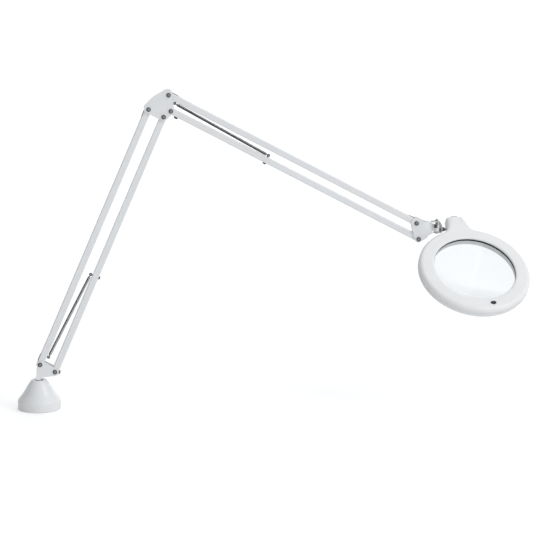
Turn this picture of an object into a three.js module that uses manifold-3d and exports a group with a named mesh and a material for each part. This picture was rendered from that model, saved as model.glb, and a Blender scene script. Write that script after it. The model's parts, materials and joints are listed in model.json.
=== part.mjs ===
// Magnifying lamp: conical base cover, two parallelogram arm sections with springs, and a
// round lighted head with a 5 inch lens on a swivelling, tilting yoke.
// Millimetres, +Z up. The arm lies in the XZ plane and reaches towards +X. The origin is the
// centre of the base's underside.
import * as THREE from "three";
import { mergeVertices } from "three/addons/utils/BufferGeometryUtils.js";
import Module from "manifold-3d";

const wasm = await Module();
wasm.setup();

// ---- driving dimensions -------------------------------------------------------------
const GAP = 0.3; // between pieces that touch

const BASE_R = 32;
const BASE_TOP_R = 10.6;
const BASE_HEIGHT = 45;
const SKIRT_HEIGHT = 13.5;
const COVER_WALL = 2.4;
const FOOT_THICKNESS = 1.5;
const PLATE_THICKNESS = 3;
const HOLE_R = 6.2; // in the cover's top
const STEM_R = 4;
const STEM_TOP = 45.3;

const LINK = 418.5; // pivot to pivot, all four bars
const LOWER_LEAN = 23.3; // degrees from the vertical
const UPPER_DROP = 27.9; // degrees below the horizontal
const LOWER_WIDTH = 10; // square bar
const UPPER_WIDTH = 9.4;
const BAR_WALL = 1.2;
const BAR_END = 3.5; // bar beyond its last pivot

const SHOULDER = new THREE.Vector2(2, 69); // rear pivot, X and Z
const LOWER_STEP = new THREE.Vector2(22.3, -11.4); // rear pivot to front pivot
const ELBOW_STEP = new THREE.Vector2(29.7, 21.2); // lower rear pivot to upper top pivot
const UPPER_STEP = new THREE.Vector2(3.3, -24); // top pivot to bottom pivot

const SHEET = 1.5; // bracket sheet thickness
const SIDE_GAP = 0.8; // bar side to bracket cheek
const SCREW_R = 2.2;
const SCREW_HOLE_R = 2.5;
const HEAD_R = 3.7;
const HEAD_HEIGHT = 2.2;
const NUT_R = 4.05;
const NUT_HEIGHT = 3;

const HOOK_AT = 14.3; // spring hook along the bar
const LOWER_BOLT_AT = 157; // spring bolt along the front bar
const UPPER_BOLT_AT = 160;
const SPRING_R = 2.2;
const SPRING_OFFSET = 2.7; // spring axis to the face of its bar
const LEAD_R = 1.3;
const LEAD_SLOT = [2.2, 21]; // slot in the outer wall, from the pivot

const PAN_AXIS = new THREE.Vector3(598, 0, 267.8); // on the tilt axis too
const HEAD_PAN = 12.8; // degrees about +Z
const HEAD_TILT = 36; // degrees about the tilt axis
const BARREL_R = 4;
const BARREL_Z = [-2.7, 8.4]; // from the tilt axis
const YOKE_WIDTH = 11;

const BOSS_OFFSET = 34.1; // pan axis to the head's middle line
const BOSS_REACH = 90.2; // lens centre to the tilt axis, along the neck
const BOSS_RISE = 1; // and above the lens centre
const NECK_X = -1.9; // the neck's middle line, from the lens centre
const BOSS_END = 110.5; // end of the neck from the lens centre
const RING_R = 84.3;
const OPENING_R = 61.8;
const LENS_R = 63.4;
const TOP_Z = 9.2;
const BOTTOM_Z = -10;
const PARTING_Z = -1;
const ROUND_SIDES = 48;

// ---- materials ----------------------------------------------------------------------
const finish = (color, roughness, metalness) =>
  new THREE.MeshStandardMaterial({ color, roughness, metalness });
const whitePaint = finish(0xe9eae8, 0.35, 0.1);
const whitePlastic = finish(0xeeeeec, 0.4, 0);
const darkSteel = finish(0x3a3c3e, 0.4, 0.9);
const zincSteel = finish(0x8c8f90, 0.35, 1);
const brightSteel = finish(0xb4b7b8, 0.35, 1);
const springSteel = finish(0x55585a, 0.35, 1);
const blackRubber = finish(0x2a2a2b, 0.8, 0);
const greyPlastic = finish(0xa9abaa, 0.5, 0);
const glass = finish(0xe4edf2, 0.05, 0);
const boardWhite = finish(0xf2f2ee, 0.5, 0);
const boardGreen = finish(0x2f6b45, 0.5, 0);
const diffuserWhite = finish(0xf7f6f0, 0.3, 0);

// ---- solids -------------------------------------------------------------------------
const rad = THREE.MathUtils.degToRad;

// A closed geometry as a manifold solid, with its faces turned outwards.
function solid(geometry) {
  const bare = geometry.clone();
  bare.deleteAttribute("normal");
  bare.deleteAttribute("uv");
  const merged = mergeVertices(bare, 1e-3);
  const position = merged.attributes.position;
  const index = merged.index.array;
  const corners = [];
  let volume = 0;
  const a = new THREE.Vector3();
  const b = new THREE.Vector3();
  const c = new THREE.Vector3();
  for (let i = 0; i < index.length; i += 3) {
    const [p, q, r] = [index[i], index[i + 1], index[i + 2]];
    if (p === q || q === r || r === p) {
      continue;
    }
    corners.push(p, q, r);
    a.fromBufferAttribute(position, p);
    b.fromBufferAttribute(position, q);
    c.fromBufferAttribute(position, r);
    volume += a.dot(b.cross(c));
  }
  if (volume < 0) {
    for (let i = 0; i < corners.length; i += 3) {
      [corners[i], corners[i + 1]] = [corners[i + 1], corners[i]];
    }
  }
  const vertProperties = new Float32Array(position.array);
  const triVerts = new Uint32Array(corners);
  return new wasm.Manifold(new wasm.Mesh({ numProp: 3, vertProperties, triVerts }));
}

function geometryOf(manifold) {
  const mesh = manifold.getMesh();
  const geometry = new THREE.BufferGeometry();
  geometry.setAttribute("position", new THREE.BufferAttribute(mesh.vertProperties, 3));
  geometry.setIndex(new THREE.BufferAttribute(mesh.triVerts, 1));
  return geometry;
}

const join = (first, ...rest) => rest.reduce((sum, s) => sum.add(s), first);
const cut = (first, ...rest) => rest.reduce((sum, s) => sum.subtract(s), first);

// A cylinder from one point to another.
function rod(r, from, to, sides = 16) {
  const start = new THREE.Vector3(...from);
  const end = new THREE.Vector3(...to);
  const along = end.clone().sub(start);
  const geometry = new THREE.CylinderGeometry(r, r, along.length(), sides);
  const turn = new THREE.Quaternion().setFromUnitVectors(
    new THREE.Vector3(0, 1, 0),
    along.clone().normalize(),
  );
  geometry.applyQuaternion(turn);
  const middle = start.add(end).multiplyScalar(0.5);
  geometry.translate(middle.x, middle.y, middle.z);
  return solid(geometry);
}

function block(low, high) {
  const size = high.map((value, i) => value - low[i]);
  const geometry = new THREE.BoxGeometry(...size);
  geometry.translate(...high.map((value, i) => (value + low[i]) / 2));
  return solid(geometry);
}

// A shape drawn in X and Z, given thickness from y0 to y1.
function sheet(shape, y0, y1) {
  const options = { depth: y1 - y0, bevelEnabled: false, curveSegments: 9 };
  const geometry = new THREE.ExtrudeGeometry(shape, options);
  geometry.rotateX(Math.PI / 2);
  geometry.translate(0, y1, 0);
  return solid(geometry);
}

// A shape drawn in X and Y, given height from z0 to z1.
function prism(shape, z0, z1, curveSegments = 8) {
  const options = { depth: z1 - z0, bevelEnabled: false, curveSegments };
  const geometry = new THREE.ExtrudeGeometry(shape, options);
  geometry.translate(0, 0, z0);
  return solid(geometry);
}

// A closed profile of radius and height, turned about Z.
function turned(profile, sides = ROUND_SIDES) {
  const points = profile.map(([r, z]) => new THREE.Vector2(r, z));
  const closed = points[0].x < 1e-6 ? points : [...points, points[0].clone()];
  const geometry = new THREE.LatheGeometry(closed, sides);
  geometry.rotateX(Math.PI / 2);
  return solid(geometry);
}

const polygon = (points) => new THREE.Shape(points.map(([x, y]) => new THREE.Vector2(x, y)));

// The outline of a belt round circles given anticlockwise as [x, y, r].
function belt(circles) {
  const count = circles.length;
  const normals = circles.map(([x, y, r], i) => {
    const [nx, ny, nr] = circles[(i + 1) % count];
    const distance = Math.hypot(nx - x, ny - y);
    return Math.atan2(ny - y, nx - x) - Math.acos((r - nr) / distance);
  });
  const shape = new THREE.Shape();
  circles.forEach(([x, y, r], i) => {
    const start = normals[(i + count - 1) % count];
    let end = normals[i];
    while (end < start - 1e-9) {
      end += 2 * Math.PI;
    }
    shape.absarc(x, y, r, start, end, false);
  });
  shape.closePath();
  return shape;
}

// Points along a circle's arc, in degrees.
function arc([x, y], r, from, to, steps = 5) {
  return Array.from({ length: steps + 1 }, (_, i) => {
    const angle = rad(from + ((to - from) * i) / steps);
    return [x + r * Math.cos(angle), y + r * Math.sin(angle)];
  });
}

// ---- scene helpers ------------------------------------------------------------------
const lamp = new THREE.Group();

function frame(parent, position, turn = {}) {
  const group = new THREE.Group();
  group.position.copy(position);
  group.rotation.set(turn.x ?? 0, turn.y ?? 0, turn.z ?? 0);
  parent.add(group);
  return group;
}

function piece(parent, name, material, shape) {
  const mesh = new THREE.Mesh(geometryOf(shape), material);
  mesh.name = name;
  parent.add(mesh);
}

const inPlane = (point) => new THREE.Vector3(point.x, 0, point.y);
const hexagon = (r, from, to) => rod(r, from, to, 6);

// A pivot screw and its nut across a bracket, along Y at [x, z].
function pivot(parent, name, [x, z], cheek) {
  const front = -cheek - GAP;
  const back = cheek + GAP;
  const dome = turned([
    [0, 0],
    [HEAD_R, 0],
    [HEAD_R, HEAD_HEIGHT * 0.45],
    [HEAD_R * 0.72, HEAD_HEIGHT],
    [0, HEAD_HEIGHT],
  ], 12);
  const head = dome.rotate([90, 0, 0]).translate([x, front, z]);
  const shank = rod(SCREW_R, [x, front - 0.5, z], [x, back + NUT_HEIGHT + 0.8, z], 12);
  piece(parent, `${name}_screw`, zincSteel, join(head, shank));
  const nut = hexagon(NUT_R, [x, back, z], [x, back + NUT_HEIGHT, z]);
  const bore = rod(SCREW_HOLE_R, [x, back - 1, z], [x, back + NUT_HEIGHT + 1, z], 12);
  piece(parent, `${name}_nut`, zincSteel, cut(nut, bore));
}

const crossHole = (x, z) => rod(SCREW_HOLE_R, [x, -20, z], [x, 20, z], 12);

// ---- base ---------------------------------------------------------------------------
function makeBase() {
  const coverBottom = 0.4;
  const insideR = BASE_R - COVER_WALL;
  const floorR = insideR - GAP;
  const shoulderR = 5;
  const outside = [
    [BASE_R, coverBottom],
    [BASE_R + 0.2, SKIRT_HEIGHT - 2.5],
    ...arc([BASE_R + 0.2 - shoulderR, SKIRT_HEIGHT - 2.5], shoulderR, 10, 32, 3),
    [20.4, 30.8],
    [15, 39.2],
    [BASE_TOP_R + 0.5, BASE_HEIGHT - 0.9],
    [BASE_TOP_R - 0.4, BASE_HEIGHT],
  ];
  const inside = [
    [HOLE_R, BASE_HEIGHT],
    [HOLE_R, BASE_HEIGHT - 3.2],
    [9.4, BASE_HEIGHT - 3.6],
    [15, 36.2],
    [insideR - 3.4, SKIRT_HEIGHT + 1.2],
    [insideR, SKIRT_HEIGHT - 5],
    [insideR, coverBottom],
  ];
  piece(lamp, "base_cover", whitePaint, turned([...outside, ...inside], 40));
  piece(lamp, "foot_pad", blackRubber,
    rod(floorR, [0, 0, 0], [0, 0, FOOT_THICKNESS], 40));
  const plateZ = FOOT_THICKNESS + GAP;
  const plateTop = plateZ + PLATE_THICKNESS;
  piece(lamp, "base_plate", zincSteel,
    rod(floorR, [0, 0, plateZ], [0, 0, plateTop], 40));
  const socketZ = plateTop + GAP;
  const socketTop = BASE_HEIGHT - 4.6;
  const socket = cut(
    join(
      rod(6.5, [0, 0, socketZ], [0, 0, socketTop], 20),
      rod(13, [0, 0, socketZ], [0, 0, socketZ + 2.5], 20),
    ),
    rod(STEM_R + 0.3, [0, 0, socketZ + 3], [0, 0, socketTop + 1], 20),
  );
  piece(lamp, "stem_socket", zincSteel, socket);
  piece(lamp, "stem_bush", blackRubber, turned([
    [STEM_R + GAP, BASE_HEIGHT - 4.2],
    [HOLE_R - GAP, BASE_HEIGHT - 4.2],
    [HOLE_R - GAP, BASE_HEIGHT - 1.6],
    [STEM_R + GAP, BASE_HEIGHT - 1.6],
  ], 24));
}

// ---- shoulder -----------------------------------------------------------------------
const lowerCheek = LOWER_WIDTH / 2 + SIDE_GAP + SHEET;
const upperCheek = UPPER_WIDTH / 2 + 0.7 + SHEET;

function makeShoulder() {
  const group = frame(lamp, inPlane(SHOULDER));
  const inner = lowerCheek - SHEET;
  const floorZ = STEM_TOP + GAP - SHOULDER.y;
  const side = belt([
    [-4, floorZ + 5.2, 2.2],
    [LOWER_STEP.x, LOWER_STEP.y, 5.8],
    [1, 0.3, 5.6],
  ]);
  // The foot comes down to the floor plate over the stem.
  const foot = polygon([
    [-6.9, floorZ],
    [0.4, floorZ],
    [2.4, floorZ + 3.8],
    [-6.2, floorZ + 5.2],
  ]);
  const cheeks = [[-lowerCheek, -inner], [inner, lowerCheek]].flatMap(([y0, y1]) => [
    sheet(side, y0, y1),
    sheet(foot, y0, y1),
  ]);
  const floorSide = lowerCheek - 0.2;
  const bracket = cut(
    join(
      block([-6.6, -floorSide, floorZ], [0.2, floorSide, floorZ + SHEET]),
      rod(5, [-SHOULDER.x, 0, floorZ], [-SHOULDER.x, 0, floorZ + SHEET], 24),
      ...cheeks,
    ),
    crossHole(0, 0),
    crossHole(LOWER_STEP.x, LOWER_STEP.y),
  );
  piece(group, "shoulder_bracket", whitePaint, bracket);
  const stem = join(
    rod(STEM_R, [0, 0, 8.6], [0, 0, STEM_TOP], 20),
    rod(4.8, [0, 0, STEM_TOP - 1.3], [0, 0, STEM_TOP], 20),
  );
  piece(lamp, "swivel_stem", zincSteel, stem);
  pivot(group, "shoulder_rear", [0, 0], lowerCheek);
  pivot(group, "shoulder_front", [LOWER_STEP.x, LOWER_STEP.y], lowerCheek);
}

// ---- arms ---------------------------------------------------------------------------
// A square tube along +Z from its first pivot at the origin.
function bar(width) {
  const square = (half, r) =>
    belt([
      [-half + r, -half + r, r],
      [half - r, -half + r, r],
      [half - r, half - r, r],
      [-half + r, half - r, r],
    ]);
  const ends = [-BAR_END, LINK + BAR_END];
  const outer = prism(square(width / 2, 1.4), ...ends, 3);
  const bore = prism(square(width / 2 - BAR_WALL, 0.4), ends[0] - 1, ends[1] + 1, 1);
  return cut(outer, bore, crossHole(0, 0), crossHole(0, LINK));
}

// The stretch of lead that shows in a slot in the bar's outer wall, near one pivot.
function leadStretch(width, atFarEnd) {
  const x = -width / 2;
  const [near, far] = LEAD_SLOT;
  const route = [
    [x + 0.1, near + 1.6],
    [x + 0.1, near + 6],
    [x + 0.1, far - 6.5],
    [x + 1.2, far - 3],
    [x + 3.6, far + 0.6],
    [x + 4.4, far + 5],
  ].map(([px, z]) => new THREE.Vector3(px, 0, atFarEnd ? LINK - z : z));
  const section = new THREE.Shape();
  section.absarc(0, 0, LEAD_R, 0, 2 * Math.PI, false);
  const extrudePath = new THREE.CatmullRomCurve3(route);
  const options = { extrudePath, steps: 12, curveSegments: 4 };
  return solid(new THREE.ExtrudeGeometry(section, options));
}

// The hook screw in the face of a bar, with its eye at [x, z].
function hookScrew(face, eyeX, z) {
  const inward = Math.sign(face);
  return cut(
    join(
      rod(2.5, [eyeX, -1.1, z], [eyeX, 1.1, z], 12),
      rod(1.4, [face - inward * 2.2, 0, z], [eyeX - inward * 1.9, 0, z], 8),
    ),
    rod(1.2, [eyeX, -2, z], [eyeX, 2, z], 8),
  );
}

function makeArm({ name, outerBar, innerBar, origin, lean, width, step, boltAt, stopAt }) {
  const turn = { y: rad(lean) };
  const half = width / 2;
  const outer = frame(lamp, inPlane(origin), turn);
  const inner = frame(lamp, inPlane(origin.clone().add(step)), turn);
  // The step from one bar to the other, across and along the bars.
  const across = step.x * Math.cos(rad(lean)) - step.y * Math.sin(rad(lean));
  const along = step.x * Math.sin(rad(lean)) + step.y * Math.cos(rad(lean));

  const [slotNear, slotFar] = LEAD_SLOT;
  const slot = (z0, z1) => block([-half - 1, -1.7, z0], [-half + BAR_WALL + 1, 1.7, z1]);
  const outerTube = cut(
    bar(width),
    slot(slotNear, slotFar),
    slot(LINK - slotFar, LINK - slotNear),
    rod(1.7, [half - BAR_WALL - 1, 0, HOOK_AT], [half + 1, 0, HOOK_AT], 12),
  );
  piece(outer, `${outerBar}_bar`, whitePaint, outerTube);
  piece(outer, `${name}_lead_start`, blackRubber, leadStretch(width, false));
  piece(outer, `${name}_lead_end`, blackRubber, leadStretch(width, true));

  const innerTube = cut(
    bar(width),
    rod(1.8, [-half - 1, 0, boltAt], [half + 1, 0, boltAt], 12),
    rod(1.6, [half - BAR_WALL - 1, 0, stopAt], [half + 1, 0, stopAt], 12),
  );
  piece(inner, `${innerBar}_bar`, whitePaint, innerTube);

  // Spring between the hook on one bar and the eye bolt on the other.
  const hookX = half + SPRING_OFFSET;
  piece(outer, `${name}_spring_hook`, darkSteel, hookScrew(half, hookX, HOOK_AT));
  const start = new THREE.Vector3(hookX, 0, HOOK_AT);
  const end = new THREE.Vector3(across - half - SPRING_OFFSET, 0, along + boltAt);
  const direction = end.clone().sub(start).normalize();
  const alongSpring = (from, distance) =>
    from.clone().addScaledVector(direction, distance).toArray();
  piece(outer, `${name}_spring`, springSteel,
    rod(SPRING_R, alongSpring(start, 3.4), alongSpring(end, -8), 12));
  piece(outer, `${name}_spring_end`, springSteel,
    rod(1.5, alongSpring(end, -7.6), alongSpring(end, -3.2), 12));

  const nutFace = half + GAP;
  const boltEnd = nutFace + 2.2;
  const eyeX = -half - SPRING_OFFSET;
  const bolt = join(
    hookScrew(-half, eyeX, boltAt),
    rod(1.4, [-half, 0, boltAt], [boltEnd, 0, boltAt], 12),
  );
  piece(inner, `${name}_spring_bolt`, darkSteel, bolt);
  const nut = cut(
    hexagon(2.6, [nutFace, 0, boltAt], [nutFace + 1.7, 0, boltAt]),
    rod(1.75, [nutFace - 1, 0, boltAt], [boltEnd + 1, 0, boltAt], 12),
  );
  piece(inner, `${name}_spring_nut`, darkSteel, nut);

  const stop = join(
    rod(1.3, [half - BAR_WALL - 0.3, 0, stopAt], [half + 1, 0, stopAt], 12),
    rod(3.1, [half + GAP, 0, stopAt], [half + 2.8, 0, stopAt], 16),
  );
  piece(inner, `${name}_stop_screw`, darkSteel, stop);
}

function farEnd(origin, lean) {
  return new THREE.Vector2(
    origin.x + LINK * Math.sin(rad(lean)),
    origin.y + LINK * Math.cos(rad(lean)),
  );
}

const ELBOW = farEnd(SHOULDER, LOWER_LEAN);
const UPPER_TOP = ELBOW.clone().add(ELBOW_STEP);
const UPPER_LEAN = 90 + UPPER_DROP;
const WRIST = farEnd(UPPER_TOP, UPPER_LEAN);

// ---- elbow --------------------------------------------------------------------------
const WEB_END = 98; // degrees round the top pivot
function makeElbow() {
  const group = frame(lamp, inPlane(ELBOW));
  const inner = lowerCheek - SHEET;
  const right = ELBOW_STEP.clone().add(UPPER_STEP);
  const normal = new THREE.Vector2(-ELBOW_STEP.y, ELBOW_STEP.x).normalize();
  // The upper left edge bulges from the left pivot over to the top one.
  const bulgeR = 40;
  const bulgeReach = 10.2;
  const circle = (point, offset, r) => {
    const centre = point.clone().addScaledVector(normal, offset);
    return [centre.x, centre.y, r];
  };
  const topCorner = circle(ELBOW_STEP, 1.7, 6.6);
  const middle = ELBOW_STEP.clone().multiplyScalar(0.5);
  const bulge = circle(middle, bulgeReach - bulgeR, bulgeR);
  const leftCorner = circle(new THREE.Vector2(), 1.5, 6.2);
  const side = belt([
    [0, 0, 6.2],
    [LOWER_STEP.x, LOWER_STEP.y, 6],
    [right.x, right.y, 5],
    topCorner,
    bulge,
    leftCorner,
  ]);
  // The web closes that side, following the edge.
  const webThickness = 1.3;
  const tangent = ([x, y, r], [nx, ny, nr]) =>
    Math.atan2(ny - y, nx - x) - Math.acos((r - nr) / Math.hypot(nx - x, ny - y));
  const toDegrees = (angle) => (THREE.MathUtils.radToDeg(angle) + 360) % 360;
  const fromTop = toDegrees(tangent(topCorner, bulge));
  const fromBulge = toDegrees(tangent(bulge, leftCorner));
  const webSide = (inset) => [
    ...arc(topCorner, topCorner[2] - inset, WEB_END, fromTop, 3),
    ...arc(bulge, bulgeR - inset, fromTop, fromBulge, 4),
    ...arc(leftCorner, leftCorner[2] - inset, fromBulge, fromBulge + 1, 1),
  ];
  const web = polygon([...webSide(0), ...webSide(webThickness).reverse()]);
  const pivots = {
    elbow_left: [0, 0],
    elbow_bottom: [LOWER_STEP.x, LOWER_STEP.y],
    elbow_top: [ELBOW_STEP.x, ELBOW_STEP.y],
    elbow_right: [right.x, right.y],
  };
  const bracket = cut(
    join(
      sheet(side, -lowerCheek, -inner),
      sheet(side, inner, lowerCheek),
      sheet(web, -lowerCheek + 0.1, lowerCheek - 0.1),
    ),
    ...Object.values(pivots).map(([x, z]) => crossHole(x, z)),
  );
  piece(group, "elbow_bracket", whitePaint, bracket);
  Object.entries(pivots).forEach(([name, place]) => pivot(group, name, place, lowerCheek));
}

// ---- wrist --------------------------------------------------------------------------
const panFromWrist = new THREE.Vector3(PAN_AXIS.x - WRIST.x, 0, PAN_AXIS.z - WRIST.y);
const LOCK_TURN = -110; // degrees about +Z, the way the lock screw points
const LOCK_Z = 6;

function makeWrist() {
  const group = frame(lamp, inPlane(WRIST));
  const inner = upperCheek - SHEET;
  const { x: axisX, z: axisZ } = panFromWrist;
  const barrelLow = axisZ + BARREL_Z[0];
  const barrelHigh = axisZ + BARREL_Z[1];
  const foldX = 13.5;
  const neckX = foldX + 11;
  const neckY = 1.6;
  const neckTop = barrelHigh - 0.4;
  const yokeClear = 6.6; // the neck keeps this far from the swivel axis below the barrel
  const cheeks = belt([
    [3, -23.4, 5.8],
    [13, -19, 4.4],
    [9.2, 0.2, 3],
    [-0.8, 0.6, 7.4],
  ]);
  const neck = polygon([
    [11, 2.8],
    [12.2, 2.6],
    [17, 1.1],
    [22, 0.2],
    [axisX - 4, neckTop],
    [axisX, neckTop],
    [axisX, barrelLow + 0.4],
    [axisX - yokeClear, barrelLow + 0.4],
    [axisX - yokeClear, -16.3],
    [17.5, -20.2],
    [13, -22.8],
    [11, -22.8],
  ]);
  // Plan of the folded sheet: two cheeks that close up into the neck.
  const plan = polygon([
    [-9, -upperCheek],
    [foldX, -upperCheek],
    [neckX, -neckY],
    [axisX, -neckY],
    [axisX, neckY],
    [neckX, neckY],
    [foldX, upperCheek],
    [-9, upperCheek],
    [-9, inner],
    [foldX - 0.6, inner],
    [neckX - 1, 0],
    [foldX - 0.6, -inner],
    [-9, -inner],
  ]);
  const silhouette = join(sheet(cheeks, -20, 20), sheet(neck, -20, 20));
  const lock = new THREE.Vector3(Math.cos(rad(LOCK_TURN)), Math.sin(rad(LOCK_TURN)), 0);
  const lockAt = (distance) => [
    axisX + lock.x * distance,
    lock.y * distance,
    axisZ + LOCK_Z,
  ];
  const bracket = cut(
    join(
      prism(plan, -40, 10).intersect(silhouette),
      rod(BARREL_R, [axisX, 0, barrelLow], [axisX, 0, barrelHigh], 20),
    ),
    rod(2.3, [axisX, 0, barrelLow - 1], [axisX, 0, barrelHigh + 1], 16),
    rod(1.4, lockAt(1), lockAt(6), 12),
    crossHole(0, 0),
    crossHole(UPPER_STEP.x, UPPER_STEP.y),
  );
  piece(group, "wrist_bracket", whitePaint, bracket);
  pivot(group, "wrist_upper", [0, 0], upperCheek);
  pivot(group, "wrist_lower", [UPPER_STEP.x, UPPER_STEP.y], upperCheek);

  // Lock screw with a cross-shaped grip, drawn along +Z and turned to point outwards.
  const gripR = 3.3;
  const grip = [45, 135].map((turn) =>
    block([-gripR, -0.9, 0.2], [gripR, 0.9, 2.7]).rotate([0, 0, turn]),
  );
  const screw = join(
    rod(1.1, [0, 0, -1.6], [0, 0, 1], 12),
    rod(1.8, [0, 0, 0.2], [0, 0, 2.7], 16),
    ...grip,
  );
  const lockFrame = frame(group, new THREE.Vector3(...lockAt(BARREL_R + GAP - 0.2)));
  lockFrame.quaternion.setFromUnitVectors(new THREE.Vector3(0, 0, 1), lock);
  piece(lockFrame, "pan_lock_screw", darkSteel, screw);
}

// ---- yoke ---------------------------------------------------------------------------
function makeYoke() {
  const yoke = frame(lamp, PAN_AXIS, { z: rad(HEAD_PAN) });
  const strap = polygon([
    [-6, -4.8],
    [7.4, -4.8],
    [7.4, 6.4],
    [3.4, 13.5],
    [-9, 13.5],
    [-9, 11.8],
    [2.6, 11.8],
    [5.9, 6],
    [5.9, -3],
    [-6, -3],
  ]);
  const half = YOKE_WIDTH / 2;
  // The lower leg's end is round, to pass the wrist's neck as it swivels.
  const legEnd = cut(block([-9, -9, -9], [0, 9, 0]), rod(5.9, [0, 0, -10], [0, 0, 1], 24));
  piece(yoke, "yoke", brightSteel, cut(
    sheet(strap, -half, half),
    legEnd,
    rod(2.3, [0, 0, -10], [0, 0, 20], 16),
    rod(SCREW_HOLE_R, [4, 0, 0], [12, 0, 0], 16),
  ));
  const pin = join(
    rod(2, [0, 0, -5.3], [0, 0, 14.2], 16),
    rod(2.9, [0, 0, -5.9], [0, 0, -5.1], 16),
    rod(2.9, [0, 0, 13.8], [0, 0, 14.6], 16),
    rod(1.4, [0, 0, 14], [0, 0, 16.4], 12),
  );
  piece(yoke, "swivel_pin", zincSteel, pin);
  const tiltPin = join(
    rod(2.4, [4.5, 0, 0], [5.5, 0, 0], 16),
    rod(SCREW_R, [4.9, 0, 0], [BOSS_OFFSET - 12.5, 0, 0], 16),
  );
  piece(yoke, "tilt_pin", zincSteel, tiltPin);
  piece(yoke, "tilt_washer", darkSteel, cut(
    rod(3.2, [7.7, 0, 0], [12.1, 0, 0], 16),
    rod(SCREW_HOLE_R, [7, 0, 0], [14, 0, 0], 16),
  ));
  return yoke;
}

// ---- head ---------------------------------------------------------------------------
// The head's own frame: lens centre at the origin, Y towards the neck, Z out of the top face.
function neckShape(inset) {
  const endX = 13.8 - inset;
  const endY = BOSS_END - inset;
  const corner = 4.5;
  const shape = new THREE.Shape();
  const rootX = 24.8 - inset;
  shape.moveTo(-rootX, 72);
  shape.lineTo(rootX, 72);
  shape.lineTo(rootX, 80);
  shape.bezierCurveTo(19.5 - inset, 85, 14.5 - inset, 94, endX, endY - corner);
  shape.absarc(endX - corner, endY - corner, corner, 0, Math.PI / 2, false);
  shape.absarc(-endX + corner, endY - corner, corner, Math.PI / 2, Math.PI, false);
  shape.bezierCurveTo(-14.5 + inset, 94, -19.5 + inset, 85, -rootX, 80);
  return shape;
}

function neckSolid() {
  const bevel = 2.4;
  const low = BOTTOM_Z + 1;
  const high = TOP_Z - 0.8;
  const geometry = new THREE.ExtrudeGeometry(neckShape(bevel), {
    depth: high - low - 2 * bevel,
    bevelSize: bevel,
    bevelThickness: bevel,
    bevelSegments: 2,
    curveSegments: 8,
  });
  geometry.translate(NECK_X, 0, low + bevel);
  return solid(geometry);
}

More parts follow.
